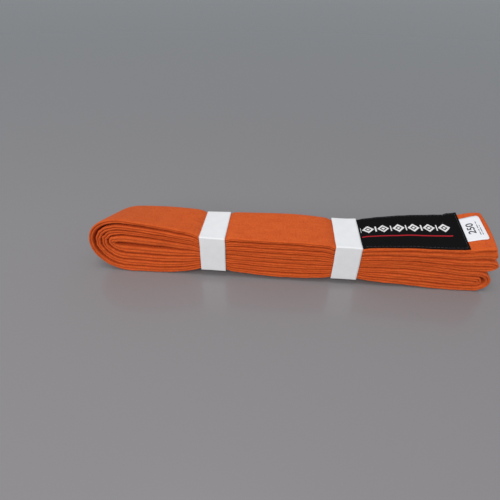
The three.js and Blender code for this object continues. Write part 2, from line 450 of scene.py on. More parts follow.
@dataclass(frozen=True)
class SewingThread:
    """Spun polyester sewing thread: a soft gleam broken by the twist of its plies."""

    name: str
    face: str
    deep: str
    twist: float = 0.5
    relief: float = 0.03

    def build(self) -> Material:
        """Makes the material: slanting plies, darker between them."""
        material, tree, shader = new_material(self.name)
        _, along, across = cloth_uv(tree)
        plies = ripple(tree, add(tree, "Math", along, across, operation="ADD"), self.twist)
        share = weighted(tree, 0.5, (0.4, plies))
        colour = add(tree, "Mix", share, linear(self.face), linear(self.deep), data_type="RGBA")
        values = {"Roughness": 0.6, "Sheen Weight": 0.2, "Specular IOR Level": 0.35}
        finish_shader(tree, shader, colour, plies, self.relief, values)
        return material


@dataclass(frozen=True)
class LabelWeave:
    """Black damask label: fine polyester ribs, with a plain ornament woven in.

    The ornament is a row of white lozenges with short bars between them, over a thin
    red line. Its edges step from thread to thread, 0.3 mm at a time. Sizes are in
    millimetres.
    """

    ground: str = "#050405"
    rib: str = "#0E0C0E"
    white: str = "#E9E6E4"
    white_deep: str = "#9B979C"
    red: str = "#B3212C"
    red_deep: str = "#5B0F18"
    thread: float = 0.3
    cloud: Pair = (6, 3)
    lozenge: float = 11.5  # from one lozenge to the next
    lozenge_half: float = 4.6  # from its middle to its points
    hollow: Pair = (1.4, 2.6)  # the black ring in it, by the way from its middle
    bar_half: Pair = (0.5, 3.22)
    row_middle: float = 3.6  # across the label, from its middle
    row: Pair = (10.25, 78.0)
    row_start: float = 16.0  # the middle of the first lozenge
    line: Pair = (-5.75, -4.65)
    relief: float = 0.06

    def inside(self, tree: Tree, value: Source, limits: Pair) -> Node:
        """1 where a value is between two limits, 0 elsewhere."""
        above = add(tree, "Math", value, limits[0], operation="GREATER_THAN")
        below = add(tree, "Math", value, limits[1], operation="LESS_THAN")
        return add(tree, "Math", above, below, operation="MULTIPLY")

    def lozenges(self, tree: Tree, x: Source, y: Source) -> Node:
        """1 on the white lozenges and the bars between them, 0 elsewhere.

        A lozenge is where the way along plus the way across from its middle is short.

        Args:
            tree: The material's node tree.
            x: The way along the label, in millimetres.
            y: The way across it.

        Returns:
            The pattern, without an end to its row.
        """
        from_row = add(tree, "Math", weighted(tree, -self.row_middle, (1.0, y)), operation="ABSOLUTE")
        from_first = weighted(tree, -self.row_start, (1.0, x))
        place = add(tree, "Math", from_first, self.lozenge / 2, operation="PINGPONG")
        reach = add(tree, "Math", place, from_row, operation="ADD")
        whole = add(tree, "Math", reach, self.lozenge_half, operation="LESS_THAN")
        solid = weighted(tree, 1.0, (-1.0, self.inside(tree, reach, self.hollow)))
        ring = add(tree, "Math", whole, solid, operation="MULTIPLY")
        bar_start, bar_end = self.lozenge / 2 - self.bar_half[0], self.bar_half[1]
        narrow = add(tree, "Math", place, bar_start, operation="GREATER_THAN")
        short = add(tree, "Math", from_row, bar_end, operation="LESS_THAN")
        bar = add(tree, "Math", narrow, short, operation="MULTIPLY")
        return add(tree, "Math", ring, bar, operation="MAXIMUM")

    def build(self) -> Material:
        """Makes the material: ribs along the label, the white row and the red line."""
        material, tree, shader = new_material("woven damask label")
        uv, along, across = cloth_uv(tree)
        in_mm = (add(tree, "Math", way, 1 / MM, operation="MULTIPLY") for way in (along, across))
        x, y = (add(tree, "Math", way, self.thread, operation="SNAP") for way in in_mm)
        in_row = self.inside(tree, x, self.row)
        white = add(tree, "Math", self.lozenges(tree, x, y), in_row, operation="MULTIPLY")
        red = add(tree, "Math", in_row, self.inside(tree, y, self.line), operation="MULTIPLY")
        ribs, cross = (ripple(tree, way, self.thread * 2) for way in (across, along))
        weave = add(tree, "Math", ribs, cross, operation="MULTIPLY")
        share = weighted(tree, 0.0, (0.7, cloth_noise(tree, uv, self.cloud)), (0.3, weave))
        colour = add(tree, "Mix", share, linear(self.ground), linear(self.rib), data_type="RGBA")
        shade = weighted(tree, 0.1, (0.12, cross))
        woven_in = ((white, self.white, self.white_deep), (red, self.red, self.red_deep))
        for where, face, deep in woven_in:
            yarn = add(tree, "Mix", shade, linear(face), linear(deep), data_type="RGBA")
            colour = add(tree, "Mix", where, colour, yarn, data_type="RGBA")
        raised = add(tree, "Math", white, red, operation="MAXIMUM")
        height = add(tree, "Math", ribs, 0.35, raised, operation="MULTIPLY_ADD")
        values = {"Roughness": 0.85, "Specular IOR Level": 0.12}
        finish_shader(tree, shader, colour, height, self.relief, values)
        return material


@dataclass(frozen=True)
class TagSatin:
    """White satin tape: fine ribs across it that give a soft gleam."""

    face: str = "#F2F1F4"
    deep: str = "#C9C8CF"
    rib: float = 0.35
    cloud: Pair = (4, 2)
    relief: float = 0.02

    def build(self) -> Material:
        """Makes the material: ribs and a faint unevenness."""
        material, tree, shader = new_material("white satin tape")
        uv, _, across = cloth_uv(tree)
        share = weighted(tree, 0.0, (0.3, cloth_noise(tree, uv, self.cloud)))
        colour = add(tree, "Mix", share, linear(self.face), linear(self.deep), data_type="RGBA")
        values = {"Roughness": 0.45, "Anisotropic": 0.4, "Sheen Weight": 0.1}
        finish_shader(tree, shader, colour, ripple(tree, across, self.rib), self.relief, values)
        return material


@dataclass(frozen=True)
class TagInk:
    """Dark printing ink on satin: flat, a little broken by the ribs under it."""

    face: str = "#2B2B36"
    deep: str = "#4C4C58"
    spot: float = 0.4
    relief: float = 0.01

    def build(self) -> Material:
        """Makes the material from noise on the object's own place."""
        material, tree, shader = new_material("printing ink")
        place = add(tree, "TexCoord").outputs["Object"]
        noise = add(tree, "TexNoise", place, 1 / (self.spot * MM), 2.0)
        colour = add(tree, "Mix", noise, linear(self.face), linear(self.deep), data_type="RGBA")
        finish_shader(tree, shader, colour, noise, self.relief, {"Roughness": 0.6})
        return material


@dataclass(frozen=True)
class BandPaper:
    """Uncoated white paper, about 160 g/m2: matt, with faint fibres and a soft edge."""

    face: str = "#F0EEEE"
    deep: str = "#DCDCDE"
    cloud: Pair = (7, 7)
    fibre: Pair = (1.6, 0.35)
    relief: float = 0.03

    def build(self) -> Material:
        """Makes the material: clouded fibres and a very fine tooth."""
        material, tree, shader = new_material("uncoated white paper")
        uv, _, _ = cloth_uv(tree)
        clouds = cloth_noise(tree, uv, self.cloud, 4)
        fibres = cloth_noise(tree, uv, self.fibre)
        share = weighted(tree, 0.0, (0.6, clouds), (0.25, fibres))
        colour = add(tree, "Mix", share, linear(self.face), linear(self.deep), data_type="RGBA")
        values = {"Roughness": 0.6, "Specular IOR Level": 0.4}
        finish_shader(tree, shader, colour, fibres, self.relief, values)
        return material


# ---- the packet's shape ----------------------------------------------------------------


@dataclass(frozen=True)
class Fold:
    """Half an ellipse that joins two strands."""

    start: float  # x where it leaves them
    reach: float  # how far its middle line goes beyond that
    half: float  # half the belt's thickness at its far end
    wrinkle: float = 0.0  # how far the cloth wavers in it
    skew: float = 0.0  # how much more it reaches near the strand that it goes on to


@dataclass
class Course:
    """A row of places along the belt's middle line, in millimetres."""

    x: Array
    z: Array
    half: Array  # half the belt's thickness
    seam: Array  # how open the seam in the front edge is, from 0 to 1
    droop: Array  # how far the middle of the cloth's lower face hangs into the gap below
    wrinkle: Array  # how far the cloth wavers off its middle line
    origin: float = 0.0

    @property
    def length(self) -> Array:
        """How far along the cloth each place is, counted from the origin."""
        steps = np.hypot(np.diff(self.x), np.diff(self.z))
        return self.origin + np.concatenate([[0], np.cumsum(steps)])

    @property
    def normal(self) -> tuple[Array, Array]:
        """The x and z of the unit normal, a quarter turn left of the way along."""
        dx, dz = np.gradient(self.x), np.gradient(self.z)
        size = np.hypot(dx, dz)
        return -dz / size, dx / size

    @property
    def bend(self) -> Array:
        """Curvature, positive where the middle of the bend is on the normal's side."""
        nx, nz = self.normal
        angle = np.unwrap(np.arctan2(-nx, nz))
        return np.gradient(angle) / np.gradient(self.length)


@dataclass(frozen=True)
class Packet:
    """Heights of the strands and the folds that join them, in millimetres."""

    width: float = 40.0
    thickness: float = 3.4
    strands: int = 8
    route: tuple[int, ...] = (1, 8, 5, 4, 3, 6, 7, 2)
    # Heights of the packet's underside and top, and of the opening in the left folds.
    station_x: tuple[float, ...] = (
        -128, -105, -84, -72, -69, -48, -45, 0, 31, 35, 57, 61, 90, 130, 148
    )
    base: tuple[float, ...] = (0, 0, 2, 5.6, 6.8, 6.8, 5.6, 2.7, 4.6, 5.8, 5.8, 4.9, 2.4, 0, 0)
    top: tuple[float, ...] = (
        44.8, 43.8, 41.6, 39.6, 37.2, 37.2, 38.5, 38.9, 37.4, 35.5, 35.5, 36.6, 40, 42.2, 45.5
    )
    opening: tuple[float, ...] = (2.3, 1.9, 0.5, 0.1, 0, 0, 0, 0, 0, 0, 0, 0, 0, 0, 0)
    # What each strand takes of the packet's height, at a few places along it.
    share_x: tuple[float, ...] = (-105, -58, 0, 46, 121, 148)
    shares: tuple[tuple[float, ...], ...] = (
        (4.2, 1.0, 4.0, 1.0, 3.3, 3.2),
        (4.3, 1.0, 4.1, 1.0, 5.6, 7.4),
        (3.9, 1.0, 4.0, 1.0, 5.0, 5.2),
        (5.9, 1.0, 4.8, 1.0, 3.5, 4.6),
        (6.2, 1.0, 3.6, 1.0, 5.1, 4.4),
        (5.6, 1.0, 4.6, 1.0, 4.9, 4.2),
        (5.2, 1.0, 4.9, 1.0, 5.6, 4.4),
        (4.6, 1.0, 3.9, 1.0, 5.1, 4.4),
    )
    slack: tuple[float, ...] = (1.3, 0.6, 0.9, 0.35, 0.5, 0.45, 0.6, 0.0)
    clear: float = 0.22  # what is left of a gap where the cloth above it hangs lowest
    shoulder: float = 0.9  # thickness near the edges, as a share of that in the middle
    # How open the seam looks at the two ends: the edge is doubled at 1 and smooth at 0.
    seam_x: Pair = (-60, 60)
    seam_left: tuple[float, ...] = (0.45, 1.0, 1.0, 0.3, 0.6, 1.0, 0.7, 0.6)
    seam_right: tuple[float, ...] = (0.6, 0.1, 1.0, 0.9, 0.35, 1.0, 0.9, 1.0)
    left_folds: tuple[Fold, ...] = (
        Fold(-128, 26.8, 1.95),
        Fold(-128, 10.4, 2.4, wrinkle=0.5, skew=0.15),
        Fold(-128, 15.8, 2.2, wrinkle=0.45, skew=-0.08),
        Fold(-128, 20.7, 2.15, wrinkle=0.3, skew=0.05),
    )
    right_folds: tuple[Fold, ...] = (
        Fold(146, 9.7, 2.5),
        Fold(150.0, 6.6, 2.0, wrinkle=0.15, skew=0.3),
        Fold(147.0, 2.3, 2.1, wrinkle=0.3),
    )
    # The packet is a little twisted: its ends lean, by this much over the belt's width.
    lean_x: tuple[float, ...] = (-157, -135, -105, -72, -58, 0, 46, 60, 90, 121, 152)
    lean: tuple[float, ...] = (-0.3, -0.22, -0.12, -0.02, 0.01, 0.07, 0.04, 0.08, 0.14, 0.19, 0.2)
    # The left folds run back at a slant, this far to the right for each mm of y.
    slant: float = 0.1
    slant_y: float = -4.0  # where across the belt they stay in place
    slant_x: Pair = (-157, -95)
    # The bands press the strands together about these places.
    band_x: Pair = (-58.6, 45.7)
    band_grip: float = 17.0  # how far from a band's middle its hold fades
    pressed: float = 0.15  # how freely the cloth lies under a band
    waver: Drift = Drift(0.16, 21, 90, 40)  # of a strand's height
    run_step: float = 2.4
    fold_step: float = 1.1
    fold_places: int = 12  # the fewest for a fold
    fold_length: float = 1.6  # about how long a fold's curve is for its reach
    crease: float = 0.7  # power of the sine by which a fold takes its own thickness

    def looseness(self, x: Array) -> Array:
        """How freely the cloth lies: little under a band, and 1 well away from it."""
        squeeze = [np.exp(-(((x - middle) / self.band_grip) ** 4)) for middle in self.band_x]
        return 1 - (1 - self.pressed) * sum(squeeze)

    def gap(self, number: int, x: Array) -> Array:
        """Room under a strand, which grows by the opening at the packet's middle."""
        room = self.slack[number - 1] * self.looseness(x)
        return room + through(self.station_x, self.opening, x) * (number == self.strands / 2)

    def strand(self, number: int, x: Array) -> tuple[Array, Array]:
        """Where a strand lies.

        The packet's height is shared out among its strands. A strand's slack is the
        gap that it leaves under itself.

        Args:
            number: The strand, 1 at the top.
            x: Places along the packet.

        Returns:
            The height of the strand's middle, and half its thickness.
        """
        base, top, opening = (
            through(self.station_x, values, x) for values in (self.base, self.top, self.opening)
        )
        height = top - base - opening
        shares = np.array([through(self.share_x, row, x) for row in self.shares])
        shares = shares / shares.sum(axis=0)
        above = shares[: number - 1].sum(axis=0)
        raised = opening if number <= self.strands / 2 else 0
        loose = self.looseness(x)
        half = (height * shares[number - 1] - self.slack[number - 1] * loose) / 2
        waver = (loose - self.pressed) * self.waver.at(x, number)
        lift = waver if 1 < number < self.strands else 0
        return base + raised + height * (1 - above) - half + lift, half

    def crown(self, y: Array) -> Array:
        """Half thickness at y, as a share of that in the middle of the belt."""
        return self.shoulder + (1 - self.shoulder) * (1 - (2 * y / self.width) ** 4)

    def upper_face(self, number: int, x: Array, y: Array) -> Array:
        """Height of a strand's upper face, before the packet's twist."""
        z, half = self.strand(number, x)
        return z + half * self.crown(y)

    def seam(self, number: int, x: Array) -> Array:
        """How open a strand's seam looks at x."""
        share = step_up(x, *self.seam_x)
        return self.seam_left[number - 1] * (1 - share) + self.seam_right[number - 1] * share

    def run(self, number: int, start: float, stop: float) -> Course:
        """One strand's stretch of the course, from one x to another."""
        x = np.linspace(start, stop, math.ceil(abs(stop - start) / self.run_step) + 1)
        z, half = self.strand(number, x)
        droop = np.maximum(self.gap(number, x) - self.clear, 0)
        return Course(x, z, half, self.seam(number, x), droop, np.zeros_like(x))

    def turn(self, before: int, after: int, fold: Fold, side: Side) -> Course:
        """The inner places of the half ellipse that joins two strands.

        Its height goes with the cosine of the turn and its reach with the sine.

        Args:
            before: The strand that the belt comes from.
            after: The strand that it goes on to.
            fold: The fold's sizes.
            side: The end of the packet that it is at.

        Returns:
            The fold's stretch of the course, without the strands' own end places.
        """
        at = np.array([fold.start])
        (z_from, half_from), (z_to, half_to) = self.strand(before, at), self.strand(after, at)
        reach = abs(z_from[0] - z_to[0]) / 2 + fold.reach
        steps = max(self.fold_places, math.ceil(self.fold_length * reach / self.fold_step))
        angle = np.linspace(0, np.pi, steps + 1)[1:-1]
        beyond = fold.reach * np.sin(angle) * (1 - fold.skew * np.cos(angle))
        x = fold.start + side.value * beyond
        z = (z_from + z_to) / 2 + (z_from - z_to) / 2 * np.cos(angle)
        crease = np.sin(angle) ** self.crease
        across = angle / np.pi
        half = (half_from * (1 - across) + half_to * across) * (1 - crease) + fold.half * crease
        seam = self.seam(before, at) * (1 - across) + self.seam(after, at) * across
        slack = self.slack[before - 1] * (1 - across) + self.slack[after - 1] * across
        droop = np.maximum(slack - self.clear, 0) * (1 - crease)
        return Course(x, z, half, seam, droop, fold.wrinkle * crease)

    def folded_course(self, start: float, stop: float) -> Course:
        """The belt from a cut in strand 1 through all its folds to the inner free end."""
        stretches, x = [], start
        for i, number in enumerate(self.route):
            side = Side.LEFT if i % 2 == 0 else Side.RIGHT
            folds = self.left_folds if side is Side.LEFT else self.right_folds
            if i == len(self.route) - 1:
                stretches.append(self.run(number, x, stop))
            else:
                fold = folds[i // 2]
                stretches.append(self.run(number, x, fold.start))
                stretches.append(self.turn(number, self.route[i + 1], fold, side))
                x = fold.start
        columns = [np.concatenate([getattr(s, column) for s in stretches]) for column in COLUMNS]
        return Course(*columns)

    def free_course(self, tip: float, cut: float) -> Course:
        """The top free end, from its tip back to the cut, which is the origin of lengths."""
        course = self.run(1, tip, cut)
        course.origin = -float(course.length[-1])
        return course

    def settled(self, points: Array) -> Array:
        """Points after the packet's twist.

        Heights grow across the packet by the lean, and the left folds slant back.
        """
        x, y = points[..., 0], points[..., 1]
        out = points.copy()
        out[..., 2] *= 1 + through(self.lean_x, self.lean, x) * y / self.width
        out[..., 0] += self.slant * (y - self.slant_y) * (1 - step_up(x, *self.slant_x))
        return out


# ---- the belt --------------------------------------------------------------------------


@dataclass
class BeltCloth:
    """The belt itself: its cotton cover, wrapped round two plies of canvas.

    The cover is one cloth whose two turned-in edges meet in the front edge of the
    belt, where a narrow seam opens into the hollow that holds the plies.
    """

    packet: Packet
    wall: float = 0.65
    lip: float = 1.4  # how deep the groove between the two turned edges is
    edge: float = 1.7  # rounding of the belt's edges
    hang: Pair = (1.5, 10.0)  # a drooping face hangs fully this far from an edge
    seam_slit: float = 0.14
    seam_lip: float = 2.0
    back_wall: float = 1.4
    shut: float = 0.03  # half the hollow's height where it is pinched at a sewn end
    end_round: float = 1.6
    end_least: float = 0.12  # square of the share of its thickness that a sewn end keeps
    end_places: tuple[float, ...] = (0.15, 0.4, 0.8, 1.3)  # more rings, this far from it
    end_bow: float = 1.5  # how much further the middle of a sewn end reaches than its corners
    end_bow_length: float = 18.0
    lip_points: int = 7
    face_points: int = 11
    back_points: int = 9
    upper_lip: Drift = Drift(0.3, 6, 50, 3)
    lower_lip: Drift = Drift(0.3, 6, 50, 4)
    wrinkles: Drift = Drift(1.0, 3.6, 12, 9)  # off the middle line, inside the folds
    sideways: Drift = Drift(0.45, 60, 420, 8)
    bend_room: float = 0.86  # share of a bend's radius that the cloth may fill
    straight: float = 1e-6  # curvature that counts as none
    ply: float = 0.6
    ply_gap: float = 0.3
    ply_round: float = 0.3
    ply_points: int = 12

    @property
    def cut_width(self) -> float:
        """Width that the cover was cut to: once round the belt, and both turned-in lips."""
        return 2 * (self.packet.width + self.packet.thickness + self.seam_lip)

    def end_factor(self, course: Course, at_start: bool, at_stop: bool) -> Array:
        """The share of its thickness that the belt has, less than 1 near its sewn ends."""
        length = course.length
        factor = np.ones_like(length)
        for wanted, gap in ((at_start, length - length[0]), (at_stop, length[-1] - length)):
            if wanted:
                factor = factor * rounded(gap / self.end_round, self.end_least)
        return factor

    def with_close_ends(self, course: Course, at_start: bool, at_stop: bool) -> Course:
        """The course with more places near its sewn ends, where the cloth is rounded."""
        length = course.length
        extra = np.array(self.end_places)
        places = [length]
        if at_start:
            places.append(length[0] + extra)
        if at_stop:
            places.append(length[-1] - extra)
        at = np.sort(np.concatenate(places))
        parts = [np.interp(at, length, getattr(course, column)) for column in COLUMNS]
        return Course(*parts, origin=course.origin)

    def section(self, course: Course, ends: Array) -> tuple[Array, Array]:
        """The cover's section at each place: y across the belt and h off its middle.

        The front edge is a mix of one round edge and two round lips, by how open the
        seam is. A lip is half an ellipse, and the faces fall from the middle to the
        edges with the fourth power of y. The hollow is a plain rectangle behind the
        lips, pinched shut at a sewn end.

        Args:
            course: The places.
            ends: The rounding of the sewn ends, from end_factor.

        Returns:
            Two arrays of place by section point.
        """
        side = self.packet.width / 2
        half, opened = (course.half * ends)[:, None], course.seam[:, None]
        along = course.length[:, None]
        whole = 1 - opened
        psi = np.radians(np.linspace(-90, 90, self.lip_points))
        phi = np.radians(np.linspace(0, 90, self.lip_points))
        groove = opened * self.lip * (1 - np.cos(psi)) + whole * self.edge * (1 - np.cos(phi))
        rise = opened * (1 + np.sin(psi)) / 2 + whole * np.sin(phi)
        edge_half = half * self.packet.shoulder
        y_lip = groove - side
        h_lip = np.maximum(edge_half * rise, self.seam_slit / 2)
        upper_y = y_lip + np.cos(psi) * self.upper_lip.at(along)
        lower_y = y_lip + np.cos(psi) * self.lower_lip.at(along)
        inward = np.linspace(0, 1, self.face_points + 2)[1:-1]
        y_face = y_lip[:, -1:] * (1 - inward) + (side - self.edge) * inward
        h_face = half * self.packet.crown(y_face)
        hanging = (course.droop * ends)[:, None] * step_up(side - np.abs(y_face), *self.hang)
        downwards = (course.normal[1] < 0)[:, None]
        upper_face, lower_face = h_face + hanging * downwards, h_face + hanging * ~downwards
        arc = np.radians(np.linspace(90, -90, self.back_points))
        y_back = np.broadcast_to(side - self.edge + self.edge * np.cos(arc), (len(along), len(arc)))
        h_back = edge_half * np.sin(arc)
        room = np.maximum(edge_half - self.wall, self.shut)
        room = np.where(ends[:, None] < 1, self.shut, room)
        hollow = (self.seam_slit / 2, self.seam_lip - side, side - self.back_wall)
        gap, front, back = (np.full_like(room, value) for value in hollow)
        y = [upper_y, y_face, y_back, y_face[:, ::-1], lower_y[:, ::-1]]
        y += [front, front, back, back, front, front]
        h = [h_lip, upper_face, h_back, -lower_face[:, ::-1], -h_lip[:, ::-1]]
        h += [-gap, -room, -room, room, room, gap]
        return np.concatenate(y, axis=1), np.concatenate(h, axis=1)

    def placed(self, course: Course, y: Array, h: Array) -> Array:
        """Carries a section along the course.

        A point is the middle line plus h times the normal, at y across the packet.
        On the inner side of a bend, h is scaled to stay within the bend's radius.

        Args:
            course: The places.
            y: Place across the belt, as place by section point.
            h: Height off the belt's middle, the same.

        Returns:
            Points as ring, section point and x, y, z, after the packet's twist.
        """
        nx, nz = (n[:, None] for n in course.normal)
        limit = self.bend_room / np.maximum(np.abs(course.bend), self.straight) / course.half
        inner_side = h * np.sign(course.bend)[:, None] > 0
        h = np.where(inner_side, h * np.minimum(1, limit)[:, None], h)
        h = h + (course.wrinkle * self.wrinkles.at(course.length))[:, None]
        loose = self.packet.looseness(course.x) - self.packet.pressed
        y = y + (loose * self.sideways.at(course.length))[:, None]
        x, z = course.x[:, None] + nx * h, course.z[:, None] + nz * h
        return self.packet.settled(np.stack([x, y, z], axis=2))

    def bow(self, course: Course, y: Array, at_start: bool, at_stop: bool) -> Array:
        """How far x grows near the sewn ends, most in the middle of the belt's width."""
        length = course.length
        near_start = 1 - step_up(length - length[0], 0, self.end_bow_length)
        near_stop = 1 - step_up(length[-1] - length, 0, self.end_bow_length)
        near = at_start * near_start + at_stop * near_stop
        return self.end_bow * near[:, None] * (1 - (2 * y / self.packet.width) ** 2)

    def cover(self, name: str, course: Course, at_start: bool, at_stop: bool) -> Piece:
        """A cover piece along a course, sewn shut at the ends asked for."""
        course = self.with_close_ends(course, at_start, at_stop)
        y, h = self.section(course, self.end_factor(course, at_start, at_stop))
        rings = self.placed(course, y, h)
        rings[..., 0] += self.bow(course, y, at_start, at_stop)
        middle = len(course.x) // 2
        return swept_mesh(name, rings, course.length, ring_length(y[middle], h[middle]))

    def core(self, name: str, course: Course, which: Ply) -> Piece:
        """One canvas ply: a flat strip with rounded edges, above or below the middle."""
        side = self.packet.width / 2
        low, high = -side + self.seam_lip + self.ply_gap, side - self.back_wall - self.ply_gap
        angle = 2 * np.pi * (np.arange(self.ply_points) + 0.5) / self.ply_points + np.pi / 3
        y = np.where(np.cos(angle) < 0, low, high) + self.ply_round * np.cos(angle)
        h = which.value * (self.ply + self.ply_gap) / 2 + self.ply / 2 * np.sin(angle)
        count = (len(course.x), 1)
        rings = self.placed(course, np.tile(y, count), np.tile(h, count))
        return swept_mesh(name, rings, course.length, ring_length(y, h))

    def shortened(self, course: Course, at_start: float, at_stop: float) -> Course:
        """The course without the given lengths at its two ends."""
        length = course.length
        keep = (length >= length[0] + at_start) & (length <= length[-1] - at_stop)
        parts = [getattr(course, column)[keep] for column in COLUMNS]
        return Course(*parts, origin=float(length[keep][0]))


# ---- stitches --------------------------------------------------------------------------


@dataclass(frozen=True)
class Stitching:
    """Rows of separate stitches: each a small arch of thread that dives into the cloth."""

    pitch: float = 2.9
    stitch: float = 2.35
    thread: float = 0.42
    around: int = 6
    along: int = 7
    tip: float = 0.97  # share of a stitch's half length at which its tube ends
    sunk: float = 0.15  # share of the thread's thickness that its ends are in the cloth
    sight: float = 0.3  # how far to each side of a stitch its direction is measured

    def arch(self) -> tuple[Array, list[list[int]], Array]:
        """One stitch about the origin, along x.

        Its middle line rises with 1 - t^2, and its radius is the root of 1 - t^4.

        Returns:
            Its points, its faces, and the UV of each point.
        """
        t = np.linspace(-self.tip, self.tip, self.along)[:, None]
        angle = np.linspace(0, 2 * np.pi, self.around, endpoint=False)[None, :]
        radius = self.thread / 2 * np.sqrt(1 - t**4)
        x = np.broadcast_to(t * self.stitch / 2, (self.along, self.around))
        z = self.thread * ((1 - t**2) / 2 - self.sunk) + radius * np.sin(angle)
        points = np.stack([x, radius * np.cos(angle), z], axis=2).reshape(-1, 3)
        n = self.around
        faces = [
            [i * n + j, (i + 1) * n + j, (i + 1) * n + (j + 1) % n, i * n + (j + 1) % n]
            for i in range(self.along - 1)
            for j in range(n)
        ]
        faces += [list(range(n)), [(self.along - 1) * n + j for j in range(n)][::-1]]
        uv = np.stack([x, np.broadcast_to(angle * self.thread / 2, x.shape)], axis=2)
        return points, faces, uv.reshape(-1, 2)

    def row(self, path: Array) -> tuple[Array, Array]:
        """Evenly spaced stitches along a line.

        Args:
            path: Points on the cloth, in millimetres.

        Returns:
            The middle of each stitch, and its direction, of any length.
        """
        steps = np.linalg.norm(np.diff(path, axis=0), axis=1)
        s = np.concatenate([[0], np.cumsum(steps)])
        count = max(1, round(s[-1] / self.pitch))
        at = (np.arange(count) + 0.5) * s[-1] / count
        back, middle, ahead = (
            np.stack([np.interp(at + step, s, path[:, k]) for k in range(3)], axis=1)
            for step in (-self.sight, 0.0, self.sight)
        )
        return middle, ahead - back

    def build(self, name: str, paths: list[Array]) -> Piece:
        """Stitches along some lines.

        Args:
            name: The piece's name.
            paths: Lines of points on the cloth, in millimetres.

        Returns:
            One object with every stitch.
        """
        arch, faces, uv = self.arch()
        middle, way = (np.concatenate(part) for part in zip(*map(self.row, paths)))
        way = way / np.linalg.norm(way, axis=1, keepdims=True)
        beside = np.cross([0.0, 0.0, 1.0], way)
        beside = beside / np.linalg.norm(beside, axis=1, keepdims=True)
        axes = np.stack([way, beside, np.cross(way, beside)], axis=1)
        points = (arch @ axes + middle[:, None]).reshape(-1, 3)
        size = len(arch)
        all_faces = [[size * k + v for v in face] for k in range(len(middle)) for face in faces]
        mesh = bpy.data.meshes.new(name)
        mesh.from_pydata((points * MM).tolist(), [], all_faces)
        corner = np.zeros(len(mesh.loops), np.int32)
        mesh.loops.foreach_get("vertex_index", corner)
        layer = mesh.uv_layers.new(name="cloth")
        layer.data.foreach_set("uv", (uv[corner % size] * MM).ravel())
        mesh.polygons.foreach_set("use_smooth", np.ones(len(mesh.polygons), bool))
        mesh.update()
        return in_scene(name, mesh)


# ---- the label and the tag -------------------------------------------------------------


@dataclass
class WovenLabel:
    """The black label on the top free end, its hems turned under and sewn down."""

    packet: Packet
    start_x: float
    end_x: float
    width: float = 38.6
    thickness: float = 0.4
    gap: float = 0.21  # between it and the belt
    hem: float = 4.5
    hem_slope: float = 0.8
    hem_rise: float = 0.16
    inset: float = 1.5  # from the label's edge to its line of stitches
    root: float = 0.28  # how far the tag under its end lifts it
    root_slope: Pair = (5.0, 1.0)  # how far from its end that starts and is complete
    ear: float = 1.5  # how far the back corner stands out
    ear_slope: Pair = (9.5, 8.0)
    front_waver: Drift = Drift(0.16, 17, 80, 21)
    back_waver: Drift = Drift(0.22, 9, 60, 22)
    ripples: Drift = Drift(0.08, 14, 60, 23)
    ripple_slant: float = 0.35
    step: float = 1.5
    end_places: tuple[float, ...] = (1.0, 0.5, 0.2, 0.05, 0.0)  # last rings, from the end
    end_round: float = 0.25
    end_least: float = 0.1
    rim_power: float = 60
    rim_least: float = 0.15
    points: int = 31
    stitching: Stitching = Stitching(thread=0.34)
    stitched_points: tuple[int, int] = (60, 20)  # along its edges, and across its end

    @property
    def length(self) -> float:
        """Its finished length."""
        return self.end_x - self.start_x

    def top_of_belt(self, x: Array, y: Array) -> Array:
        """Height of the top free end's upper face, before the packet's twist."""
        return self.packet.upper_face(1, x, y)

    def edges(self, x: Array) -> tuple[Array, Array]:
        """The label's front and back edge: nearly straight, the back corner standing out."""
        side = self.width / 2
        ear_start, ear_end = (self.end_x - way for way in self.ear_slope)
        front = -side + self.front_waver.at(x)
        back = side + self.back_waver.at(x) + self.ear * step_up(x, ear_start, ear_end)
        return front, back

    def lift(self, x: Array, across: Array) -> Array:
        """How far the label's underside is off the belt: more at its hems and its end."""
        front, back = self.edges(x)
        nearest = np.minimum(np.minimum(across - front, back - across), self.end_x - x)
        rim = self.hem_rise * (1 - step_up(nearest, self.hem - self.hem_slope, self.hem))
        root_start, root_end = (self.end_x - way for way in self.root_slope)
        under_tag = self.root * step_up(x, root_start, root_end)
        return self.gap + rim + self.ripples.at(x + self.ripple_slant * across) + under_tag

    def surface(self, x: Array, y: Array, above: float) -> Array:
        """Points on the label, that far above its underside."""
        z = self.top_of_belt(x, y) + self.lift(x, y) + above
        return self.packet.settled(np.stack(np.broadcast_arrays(x, y, z), axis=-1))

    def build(self) -> Piece:
        """The label: a thin sheet whose edges are rounded, swept along the belt."""
        run = np.arange(self.start_x, self.end_x - self.step, self.step)
        x = np.concatenate([run, self.end_x - np.array(self.end_places)])[:, None]
        across = np.linspace(-1, 1, self.points)
        front, back = self.edges(x)
        y = front + (back - front) * (1 + across) / 2
        end = rounded((self.end_x - x) / self.end_round, self.end_least)
        half = self.thickness / 2 * end * worn_rim(across, self.rim_power, self.rim_least)
        upper = self.surface(x, y, self.thickness / 2 + half)
        lower = self.surface(x, y, self.thickness / 2 - half)[:, ::-1]
        rings = np.concatenate([upper, lower], axis=1)
        around = both_faces(self.width / 2 * across)
        return swept_mesh("woven_label_sheet", rings, x[:, 0] - self.start_x, around)

    def stitches(self, start: float) -> Piece:
        """Black stitches round the label, from a little past the hinge line on."""
        along, across = self.stitched_points
        x = np.linspace(start, self.end_x - self.inset, along)
        front, back = self.edges(x)
        front, back = front + self.inset, back - self.inset
        y = np.linspace(front[-1], back[-1], across)
        lines = [(x, front), (np.full_like(y, x[-1]), y), (x[::-1], back[::-1])]
        paths = [self.surface(*line, self.thickness) for line in lines]
        return self.stitching.build("label_stitches", paths)


